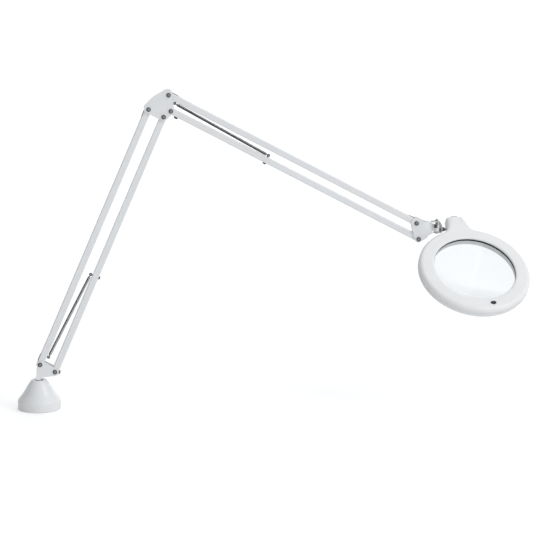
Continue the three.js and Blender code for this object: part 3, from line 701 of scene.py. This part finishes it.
def make_yoke():
    """A bent steel strap round the swivel barrel, its pins and washer."""
    thickness = 1.5
    half = 5.5  # of the strap's width
    middle = thickness / 2
    low = -4.8 + middle
    high = 13.5 - middle
    back = 7.4 - middle
    route = rounded([
        (-5.5, low, 0), (back, low), (back, 6.4), (3.2, high), (-9, high, 0),
    ], 2, 5)
    verts = []
    for i, (t, z) in enumerate(route):
        here = Vector((t, z))
        along = Vector(route[min(i + 1, len(route) - 1)]) - Vector(route[max(i - 1, 0)])
        normal = Vector((along.y, -along.x)).normalized() * middle
        for off, y in ((1, -half), (1, half), (-1, half), (-1, -half)):
            verts.append((here.x + normal.x * off, y, here.y + normal.y * off))
    strap = place("yoke_strap", verts, capped(len(route), 4), YOKE, "bright_steel")
    # Round off the ends of the lower leg and of the upper leg.
    beyond = 12
    for z, r, centre in ((-4, 5.8, 0), (12.6, 6.6, -2.6)):
        disc = [
            (centre + r * math.cos(a), r * math.sin(a))
            for a in (math.radians(90 + 6 * k) for k in range(31))
        ]
        far = [
            (centre, beyond), (centre - beyond, beyond),
            (centre - beyond, -beyond), (centre, -beyond),
        ]
        cut(strap, prism(disc[::-1] + far, z - 2, z + 2), YOKE)
    bevel_edges(strap, 0.25, angle=40)
    stand_for(strap, "yoke")

    pin = rounded([
        (0, -5.9, 0), (2.5, -5.9, 0.4), (2.9, -5.5, 0.3), (2.9, -5, 0.2), (2, -5, 0.1),
        (2, 13.7, 0.1),
        (2.9, 13.7, 0.2), (2.9, 14.6, 0.3), (1.4, 14.6, 0),
    ], 0.3, 3)
    pin += threaded(1.4, 14.7, 16, 0.5) + [(0.9, 16.4), (0, 16.4)]
    stand_for(place("swivel_pin_rivet", *lathe(pin, 40), YOKE, "zinc_steel"), "swivel_pin")

    tilt = YOKE @ Z_ONTO_X
    tilt_pin = rounded([
        (0, 4.5, 0), (2.1, 4.5, 0.3), (2.4, 4.9, 0.3), (2.4, 5.5, 0.2), (2.2, 5.5, 0),
        (2.2, 21.2, 0.3), (0, 21.2, 0),
    ], 0.3, 3)
    stand_for(place("tilt_pin_rivet", *lathe(tilt_pin, 32), tilt, "zinc_steel"), "tilt_pin")
    rings = []
    ring_height = 1.2
    for low in (7.75, 9.3, 10.85):
        top = low + ring_height
        rings.append(lathe(rounded([(2.5, low), (3.2, low), (3.2, top), (2.5, top)], 0.3, 3), 48))
    stand_for(place("tilt_washer_stack", *both(*rings), tilt, "dark_steel"), "tilt_washer")


# ---- head ---------------------------------------------------------------------------
RING_R = 84.15
OPENING_R = 61.8
LENS_R = 63.4
TOP_Z = 9.2
BOTTOM_Z = -10
PARTING_Z = -1
NECK_END = 110.5
NECK_HALF = 13.8
NECK_X = -1.9  # the neck's middle line, from the lens centre


def head_side(flank):
    """Half of the head's outline, from its low end to the neck's; flank pulls the flare out."""
    side = []
    flare_from = math.radians(18)
    steps = 80
    for k in range(steps + 1):
        a = math.pi + (flare_from - math.pi) * k / steps
        side.append(Vector((RING_R * math.sin(a), RING_R * math.cos(a))))
    first = side[-1]
    pull = Vector((-math.cos(flare_from), math.sin(flare_from)))
    curve = [first, first + pull * 8, flank, Vector((NECK_HALF, 105.8))]
    for k in range(1, 21):
        t = k / 20
        s = 1 - t
        side.append(
            curve[0] * s ** 3 + curve[1] * 3 * s * s * t
            + curve[2] * 3 * s * t * t + curve[3] * t ** 3
        )
    corner = 4.6
    for k in range(1, 9):
        a = math.radians(90 * k / 8)
        side.append(Vector((
            NECK_HALF - corner + corner * math.cos(a),
            NECK_END - corner + corner * math.sin(a),
        )))
    return side + [Vector((4.5, NECK_END))]


def head_outline():
    """The head seen from above: a circle that flares into the neck, point by point."""
    right = head_side(Vector((18.2, 92.5)))
    middle = [Vector((0, NECK_END))]
    left = [Vector((-p.x, p.y)) for p in reversed(head_side(Vector((15.1, 91)))[1:])]
    shift = Vector((NECK_X, 0))
    return [p + shift * blend_in(p.y, 74, 88) for p in right + middle + left]


def blend_in(value, low, high):
    t = max(0, min(1, (value - low) / (high - low)))
    return t * t * (3 - 2 * t)


def shell(section):
    """A closed ring-shaped shell: section gives each outline point's loop as (point, z)."""
    outline = head_outline()
    count = len(outline)
    loops = []
    for i, point in enumerate(outline):
        along = outline[(i + 1) % count] - outline[i - 1]
        normal = Vector((-along.y, along.x)).normalized()
        if normal.dot(point) < 0:
            normal.negate()
        loops.append(section(point, normal))
    verts = [(p.x, p.y, z) for loop in loops for p, z in loop]
    return verts, skin(count, len(loops[0]), closed=True)


def edge_radius(point):
    return 6.6 - 0.8 * blend_in(point.length, RING_R + 0.5, RING_R + 14)


def upper_section(point, normal):
    out = point.normalized()
    edge = edge_radius(point)
    crown = 8.7
    split = PARTING_Z + 0.12
    loop = [(point - normal * 0.4, split), (point - normal * 0.05, split + 0.35)]
    loop.append((point, crown - edge - 0.2))
    for k in range(9):
        a = math.radians(90 * k / 8)
        loop.append((point - normal * edge * (1 - math.cos(a)), crown - edge + edge * math.sin(a)))
    start = point - normal * edge
    end = out * 65.6
    for k in range(1, 7):
        spot = start.lerp(end, k / 6)
        loop.append((spot, crown + 0.5 * blend_in(-spot.length, -77.7, -65.6)))
    lip = [(64, 9.12), (63, 8.85), (62.3, 8.4), (61.9, 7.8), (OPENING_R, 7.2), (OPENING_R, 5.9)]
    lip += [(62.1, 5.6), (LENS_R + 0.5, 5.6), (LENS_R + 0.5, split), (66.1, split), (66.1, 6.4)]
    loop += [(out * r, z) for r, z in lip]
    loop.append((point - normal * (edge + 0.6), 6.2))
    loop.append((point - normal * 2.4, crown - edge - 0.4))
    loop.append((point - normal * 2.4, split))
    return loop


def lower_section(point, normal):
    out = point.normalized()
    edge = edge_radius(point)
    split = PARTING_Z - 0.12
    loop = [(point - normal * 0.4, split), (point - normal * 0.05, split - 0.35)]
    for k in range(9):
        a = math.radians(90 * k / 8)
        loop.append((
            point - normal * edge * (1 - math.cos(a)),
            BOTTOM_Z + edge - edge * math.sin(a),
        ))
    start = point - normal * (edge + 0.1)
    end = out * 77.3
    loop += [(start.lerp(end, k / 3), BOTTOM_Z) for k in range(1, 4)]
    inner = [(77.2, -9.8), (77.2, -4.6), (65.4, -4.6), (65.4, -9.4), (64.9, -9.9), (62.7, -9.9)]
    inner += [(62, -9.5), (OPENING_R, -8.8), (OPENING_R, 1.6), (63.1, 1.6), (63.1, split)]
    inner += [(66.2, split), (66.2, -3)]
    inner += [(77.6, -3)]
    loop += [(out * r, z) for r, z in inner]
    floor = -3 - 4.4 * blend_in(point.length, RING_R + 1.5, RING_R + 7)
    loop.append((out * 79.3, floor))
    loop.append((point - normal * 3, floor))
    loop.append((point - normal * 2.6, floor + 0.6))
    loop.append((point - normal * 2.6, split))
    return loop


def make_housings():
    upper = place("head_upper_shell", *shell(upper_section), HEAD, "white_plastic", 50)
    slot = rounded(box_outline(6.35, 2.85, (NECK_X, 3.1)), 1.6, 5)
    cut(upper, prism(slot, -NECK_END - 3, -NECK_END + 5), HEAD @ Z_ONTO_MINUS_Y)
    lower = place("head_lower_shell", *shell(lower_section), HEAD, "white_plastic", 50)
    seat = lathe([(0, -30), (3.7, -30), (3.7, -21.2), (2.5, -21.2), (2.5, -12), (0, -12)], 40)
    at_pin = HEAD @ Matrix.Translation((0, LENS_REACH, LENS_DROP)) @ Z_ONTO_X
    for piece in (upper, lower):
        cut(piece, seat, at_pin)
        piece.data.shade_smooth()
        piece.data.set_sharp_from_angle(angle=math.radians(50))
    stand_for(upper, "head_upper_housing")
    stand_for(lower, "head_lower_housing")


def make_optics():
    edge_low = 2.9
    edge_high = 5.3
    sag = 3.8
    rows = 12
    lens = [
        (LENS_R * k / rows, edge_low - sag * (1 - (k / rows) ** 2)) for k in range(rows + 1)
    ]
    lens += [(LENS_R + 0.15, edge_low + 0.3), (LENS_R + 0.15, edge_high - 0.3)]
    lens += [
        (LENS_R * k / rows, edge_high + sag * (1 - (k / rows) ** 2))
        for k in range(rows, -1, -1)
    ]
    stand_for(place("lens_glass_disc", *lathe(lens, 128), HEAD, "lens_glass"), "lens")
    retainer = rounded([
        (61.9, 1.8), (63.2, 1.8), (63.2, -0.4), (63.5, -0.4), (63.5, 2.55), (61.9, 2.4),
    ], 0.2, 3)
    # The black ring on the wall of the opening, above the lens, is painted shade: it darkens the wall where only
    # the opening's own shade falls. The retainer ring under the lens is a real part.
    painted_shade_seal = rounded([(61.55, 5.6), (61.95, 5.6), (61.95, 6.8), (61.55, 6.8)], 0.1, 2)
    rings = both(lathe(retainer, 128), lathe(painted_shade_seal, 128))
    stand_for(place("lens_retainer_and_shade_ring", *rings, HEAD, "black_rubber"), "lens_retainer")

    board = rounded([(65.8, -6.4), (76.9, -6.4), (76.9, -4.9), (65.8, -4.9)], 0.2, 2)
    stand_for(place("led_board_ring", *lathe(board, 128), HEAD, "board_white"), "led_board")
    packages = []
    windows = []
    count = 60
    circle_r = 71.3
    out = Matrix.Translation((circle_r, 0, 0))
    for k in range(count):
        turn = Matrix.Rotation(math.tau * k / count, 4, "Z") @ out
        packages.append(moved(prism(rounded(box_outline(1.5, 1.9), 0.3, 2), -7.25, -6.4), turn))
        windows.append(moved(lathe([(0, -7.5), (0.7, -7.42), (1.15, -7.2), (0, -7.2)], 12), turn))
    chips = place("led_packages", *both(*packages), HEAD, "board_white")
    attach(chips, "head")
    domes = place("led_phosphor_windows", *both(*windows), HEAD, "board_white")
    domes.data.materials[0] = PHOSPHOR
    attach(domes, "head")

    ribs = []
    rib_count = 26
    ribbed = 11.0
    step = ribbed / rib_count
    for k in range(rib_count):
        r = 65.9 + ribbed * k / rib_count
        ribs += [(r, -9.3), (r + step / 2, -9.05)]
    profile = [(65.8, -7.9)] + ribs + [(76.95, -9.3), (76.95, -7.9)]
    stand_for(place("diffuser_ring", *lathe(profile, 128), HEAD, "diffuser_white", 20), "diffuser")

    dressed("driver_board", 0.2)


def make_switch():
    """A rounded push button with a shallow dish, in the end of the neck."""
    matrix = HEAD @ Z_ONTO_MINUS_Y
    rings = []
    outline = [(1, -NECK_END + 6), (1, -NECK_END - 0.5), (0.97, -NECK_END - 1.05)]
    outline += [(0.9, -NECK_END - 1.35), (0.78, -NECK_END - 1.4), (0.4, -NECK_END - 1.15)]
    base = rounded(box_outline(6, 2.5), 1.5, 6)
    for size, z in outline:
        rings.append([(x * size + NECK_X, y * size + 3.1, z) for x, y in base])
    verts = [point for ring in rings for point in ring]
    faces = capped(len(rings), len(base))
    cap = place("switch_button_cap", verts, faces, matrix, "grey_plastic", 45)
    stand_for(cap, "switch_button")


def make_badge():
    """A plain oval plate with a raised rim."""
    profile = [(0, -0.5), (1, -0.5), (1, 0.42), (0.94, 0.6), (0.86, 0.6), (0.8, 0.42), (0, 0.42)]
    low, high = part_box("badge")
    centre = HEAD.inverted() @ ((low + high) / 2)
    stretch = Matrix.Diagonal((4.4, 3, 1, 1))
    matrix = HEAD @ Matrix.Translation((centre.x, centre.y, TOP_Z)) @ stretch
    stand_for(place("badge_plate", *lathe(profile, 48), matrix, "badge_metal"), "badge")


# ---- studio -------------------------------------------------------------------------
def make_camera():
    distance = 4.5
    azimuth = math.radians(-3.2)
    elevation = math.radians(10.83)
    target = Vector((0.3552, 0, 0.2010))
    back = Vector((
        math.sin(azimuth) * math.cos(elevation),
        -math.cos(azimuth) * math.cos(elevation),
        math.sin(elevation),
    ))
    camera = bpy.data.objects.new("camera", bpy.data.cameras.new("camera"))
    bpy.context.scene.collection.objects.link(camera)
    camera.data.lens = 196.4
    camera.data.clip_end = 60
    camera.location = target + back * distance
    camera.rotation_euler = (-back).to_track_quat("-Z", "Y").to_euler()
    bpy.context.scene.camera = camera


def area_light(name, place_at, aim, size, power):
    light = bpy.data.lights.new(name, "AREA")
    light.shape = "SQUARE"
    light.size = size
    light.energy = power
    lamp = bpy.data.objects.new(name, light)
    lamp.location = place_at
    lamp.rotation_euler = (Vector(aim) - Vector(place_at)).to_track_quat("-Z", "Y").to_euler()
    bpy.context.scene.collection.objects.link(lamp)


def make_world():
    """A sky that is darker to the left, with a glow before and behind the lamp."""
    world = bpy.data.worlds.new("studio")
    world.use_nodes = True
    tree = world.node_tree
    background = tree.nodes["Background"]
    background.inputs["Color"].default_value = (0.97, 0.985, 1, 1)
    coordinates = tree.nodes.new("ShaderNodeTexCoord")
    split = tree.nodes.new("ShaderNodeSeparateXYZ")
    tree.links.new(coordinates.outputs["Generated"], split.inputs["Vector"])
    level = ranged(tree, split.outputs["X"], -0.9, 0.9, 0.1, 0.8)
    behind = ranged(tree, split.outputs["Y"], 0.5, 0.85, 0, 0.6)
    before = ranged(tree, split.outputs["Y"], -0.25, -0.9, 0, 0.58)
    ends = math_node(tree, "ADD", behind, before)
    total = math_node(tree, "ADD", level, ends)
    tree.links.new(total, background.inputs["Strength"])
    return world


def make_floor():
    """A sheet of pale paper, lit from below as well."""
    half = 40
    floor = place(
        "floor",
        [(-half, -half, 0), (half, -half, 0), (half, half, 0), (-half, half, 0)],
        [(0, 1, 2, 3)],
        Matrix.Identity(4),
        "white_paint",
    )
    pale = surface(
        "floor_paper", (0.72, 0.72, 0.72), 0.8, tint=0.002, tint_scale=3,
        grain_scale=300, grain_depth=0.00002, Emission_Color=(1, 1, 1, 1),
    )
    tree = pale.node_tree
    # Less of the paper's glow falls on the lamp than is seen, and it grows with distance.
    path = tree.nodes.new("ShaderNodeLightPath")
    seen = math_node(
        tree, "MAXIMUM", path.outputs["Is Camera Ray"], path.outputs["Is Transmission Ray"]
    )
    spot = tree.nodes.new("ShaderNodeTexCoord")
    reach = tree.nodes.new("ShaderNodeVectorMath")
    reach.operation = "LENGTH"
    tree.links.new(spot.outputs["Object"], reach.inputs[0])
    glow_seen = ranged(tree, reach.outputs["Value"], 0.3, 3, 0.44, 0.62)
    glow_cast = 0.12
    glow = ranged(tree, seen, 0, 1, glow_cast, 1)
    tree.links.new(glow_seen, glow.node.inputs["To Max"])
    tree.links.new(glow, tree.nodes["Principled BSDF"].inputs["Emission Strength"])
    floor.data.materials[0] = pale


def make_studio():
    scene = bpy.context.scene
    scene.view_settings.view_transform = "Standard"
    scene.world = make_world()
    middle = (0.35, 0, 0.2)
    area_light("key", (2.4, -1.4, 2.2), middle, 1.4, 19)
    area_light("top", (0.4, 0.6, 2.7), middle, 2.2, 10)
    make_floor()


make_camera()
make_studio()
make_base()
for bracket in ("shoulder_bracket", "elbow_bracket", "wrist_bracket"):
    dressed(bracket, 0.3, 3)
make_fasteners()
make_arm("lower", "lower_rear", "lower_front", LOWER_REAR, LOWER_FRONT, 10, 157)
make_arm("upper", "upper_top", "upper_bottom", UPPER_TOP, UPPER_BOTTOM, 9.4, 160)
make_lock_screw()
make_yoke()
make_housings()
make_optics()
make_switch()
make_badge()

bpy.context.view_layer.update()
